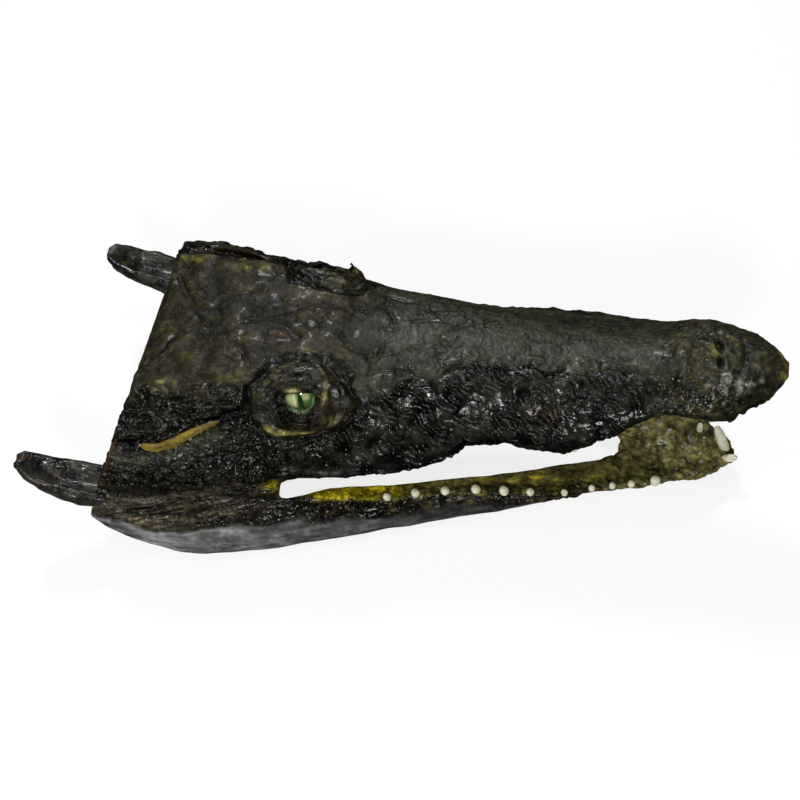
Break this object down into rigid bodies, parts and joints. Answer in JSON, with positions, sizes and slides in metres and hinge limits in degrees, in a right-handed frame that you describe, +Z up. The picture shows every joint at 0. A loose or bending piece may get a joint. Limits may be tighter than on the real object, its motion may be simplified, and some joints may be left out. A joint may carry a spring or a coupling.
{
  "type": "preserved crocodile head",
  "caption": "Life-size preserved crocodile head with varnished skin, glass eyes and open mouth, resting on its lower jaw as a museum display.",
  "frame": {"origin": "middle of the head's box, on the surface that it lies on", "axes": "+X towards the snout tip, +Y to the head's left, +Z up"},
  "size_m": [0.4632, 0.2198, 0.1343],
  "materials": {
    "varnished_skin": "dried scaly hide under dark glossy varnish, near black on the sides and olive on top",
    "bare_hide": "worn ochre edge of dried hide",
    "gum": "dried mustard-yellow lining of the mouth, slightly glossy",
    "dark_bone": "bone stained grey-brown under glossy varnish",
    "tooth": "cream tooth enamel, satin",
    "eye_glass": "polished green glass eye with a dark slit pupil"
  },
  "bodies": {
    "root": {"cheek_left": "varnished_skin", "cheek_right": "varnished_skin", "chin": "varnished_skin", "cranium": "varnished_skin", "ear_flap_left": "bare_hide", "ear_flap_right": "bare_hide", "eye_left": "eye_glass", "eye_right": "eye_glass", "jaw_bone_end_left": "dark_bone", "jaw_bone_end_right": "dark_bone", "jaw_left": "varnished_skin", "jaw_right": "varnished_skin", "lower_lid_left": "varnished_skin", "lower_lid_right": "varnished_skin", "nose": "varnished_skin", "nostril_disc": "varnished_skin", "skull_back": "dark_bone", "snout": "varnished_skin", "upper_lid_left": "varnished_skin", "upper_lid_right": "varnished_skin"}
  },
  "joints": []
}
